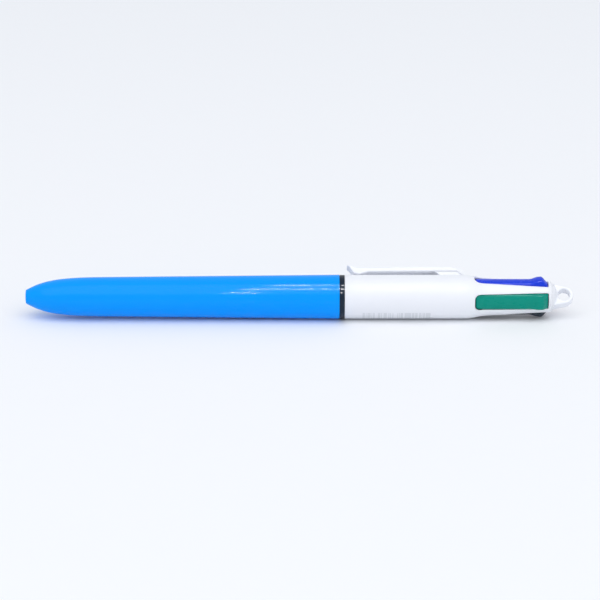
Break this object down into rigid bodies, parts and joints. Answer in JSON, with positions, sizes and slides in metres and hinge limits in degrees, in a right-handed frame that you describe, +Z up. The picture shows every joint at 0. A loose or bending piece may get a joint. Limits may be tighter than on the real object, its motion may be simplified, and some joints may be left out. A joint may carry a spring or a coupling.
{
  "type": "multicolor click pen",
  "caption": "Retractable ballpoint pen with a slider for each ink colour, a screw-apart two-piece barrel, a pocket clip and a lanyard loop.",
  "frame": {"origin": "centre of the object's box at its lowest level, where the lower barrel rests on a table", "axes": "+X along the pen from its nose to its lanyard loop, +Z up out of the blue slider, -Y out of the green slider"},
  "size_m": [0.148, 0.0132, 0.0132],
  "materials": {
    "blue_barrel": "polished injection-moulded",
    "black_ring": "polished injection-moulded",
    "white_plastic": "smooth injection-moulded",
    "sleeve_plastic": "as moulded",
    "slider_blue": "satin injection-moulded",
    "slider_green": "satin injection-moulded",
    "slider_black": "satin injection-moulded",
    "slider_red": "satin injection-moulded",
    "spring_steel": "drawn wire",
    "tube_plastic": "natural translucent, extruded",
    "ink_blue": "paste ink",
    "ink_green": "paste ink",
    "ink_black": "paste ink",
    "ink_red": "paste ink",
    "point_brass": "turned",
    "ball_carbide": "polished tungsten carbide"
  },
  "bodies": {
    "root": {"upper_barrel": "white_plastic", "end_plug": "white_plastic", "threaded_sleeve": "sleeve_plastic", "guide_plate": "sleeve_plastic", "spring_blue": "spring_steel", "spring_green": "spring_steel", "spring_black": "spring_steel", "spring_red": "spring_steel"},
    "joint_ring": {"joint_ring": "black_ring"},
    "lower_barrel": {"lower_barrel": "blue_barrel"},
    "clip": {"pocket_clip": "white_plastic"},
    "slider_blue": {"slider_blue": "slider_blue"},
    "refill_blue": {"refill_tube_blue": "tube_plastic", "ink_blue": "ink_blue", "point_blue": "point_brass"},
    "ball_blue": {"ball_blue": "ball_carbide"},
    "slider_green": {"slider_green": "slider_green"},
    "refill_green": {"refill_tube_green": "tube_plastic", "ink_green": "ink_green", "point_green": "point_brass"},
    "ball_green": {"ball_green": "ball_carbide"},
    "slider_black": {"slider_black": "slider_black"},
    "refill_black": {"refill_tube_black": "tube_plastic", "ink_black": "ink_black", "point_black": "point_brass"},
    "ball_black": {"ball_black": "ball_carbide"},
    "slider_red": {"slider_red": "slider_red"},
    "refill_red": {"refill_tube_red": "tube_plastic", "ink_red": "ink_red", "point_red": "point_brass"},
    "ball_red": {"ball_red": "ball_carbide"}
  },
  "joints": [
    {"name": "slide_blue", "type": "slide", "parent": "root", "child": "slider_blue", "axis": [-1, 0, 0], "range_m": [0, 0.012], "stiffness_N_per_m": 120, "springref_m": -0.004, "deforming": ["spring_blue", "refill_tube_blue", "ink_blue", "point_blue", "ball_blue"]},
    {"name": "refill_lean_blue", "type": "hinge", "parent": "slider_blue", "child": "refill_blue", "pos_m": [0.03905, -0.00065, 0.00847], "axis": [0, -1, 0], "range_deg": [0, 1.38]},
    {"name": "ball_roll_blue", "type": "hinge", "parent": "refill_blue", "child": "ball_blue", "pos_m": [-0.06445, -0.00065, 0.00847], "axis": [0, -1, 0], "continuous": true},
    {"name": "slide_green", "type": "slide", "parent": "root", "child": "slider_green", "axis": [-1, 0, 0], "range_m": [0, 0.012], "stiffness_N_per_m": 120, "springref_m": -0.004, "deforming": ["spring_green", "refill_tube_green", "ink_green", "point_green", "ball_green"]},
    {"name": "refill_lean_green", "type": "hinge", "parent": "slider_green", "child": "refill_green", "pos_m": [0.03905, -0.00315, 0.00597], "axis": [0, 0, -1], "range_deg": [0, 1.38]},
    {"name": "ball_roll_green", "type": "hinge", "parent": "refill_green", "child": "ball_green", "pos_m": [-0.06445, -0.00315, 0.00597], "axis": [0, 0, -1], "continuous": true},
    {"name": "slide_black", "type": "slide", "parent": "root", "child": "slider_black", "axis": [-1, 0, 0], "range_m": [0, 0.012], "stiffness_N_per_m": 120, "springref_m": -0.004, "deforming": ["spring_black", "refill_tube_black", "ink_black", "point_black", "ball_black"]},
    {"name": "refill_lean_black", "type": "hinge", "parent": "slider_black", "child": "refill_black", "pos_m": [0.03905, -0.00065, 0.00347], "axis": [0, 1, 0], "range_deg": [0, 1.38]},
    {"name": "ball_roll_black", "type": "hinge", "parent": "refill_black", "child": "ball_black", "pos_m": [-0.06445, -0.00065, 0.00347], "axis": [0, 1, 0], "continuous": true},
    {"name": "slide_red", "type": "slide", "parent": "root", "child": "slider_red", "axis": [-1, 0, 0], "range_m": [0, 0.012], "stiffness_N_per_m": 120, "springref_m": -0.004, "deforming": ["spring_red", "refill_tube_red", "ink_red", "point_red", "ball_red"]},
    {"name": "refill_lean_red", "type": "hinge", "parent": "slider_red", "child": "refill_red", "pos_m": [0.03905, 0.00185, 0.00597], "axis": [0, 0, 1], "range_deg": [0, 1.38]},
    {"name": "ball_roll_red", "type": "hinge", "parent": "refill_red", "child": "ball_red", "pos_m": [-0.06445, 0.00185, 0.00597], "axis": [0, 0, 1], "continuous": true},
    {"name": "barrel_draw", "type": "slide", "parent": "root", "child": "joint_ring", "axis": [-1, 0, 0], "range_m": [0, 0.006]},
    {"name": "barrel_unscrew", "type": "hinge", "parent": "joint_ring", "child": "lower_barrel", "pos_m": [0.00605, -0.00065, 0.00597], "axis": [-1, 0, 0], "range_deg": [0, 1800]},
    {"name": "clip_flex", "type": "hinge", "parent": "root", "child": "clip", "pos_m": [0.03825, 0.00452, 0.01113], "axis": [0, 0.7071, -0.7071], "range_deg": [0, 5], "stiffness_Nm_per_rad": 1.4, "deforming": ["pocket_clip"]}
  ],
  "couplings": [
    {"joint": "refill_lean_blue", "follows": "slide_blue", "rad_per_m": 2.0028},
    {"joint": "refill_lean_green", "follows": "slide_green", "rad_per_m": 2.0028},
    {"joint": "refill_lean_black", "follows": "slide_black", "rad_per_m": 2.0028},
    {"joint": "refill_lean_red", "follows": "slide_red", "rad_per_m": 2.0028},
    {"joint": "barrel_unscrew", "follows": "barrel_draw", "rad_per_m": 5236}
  ]
}
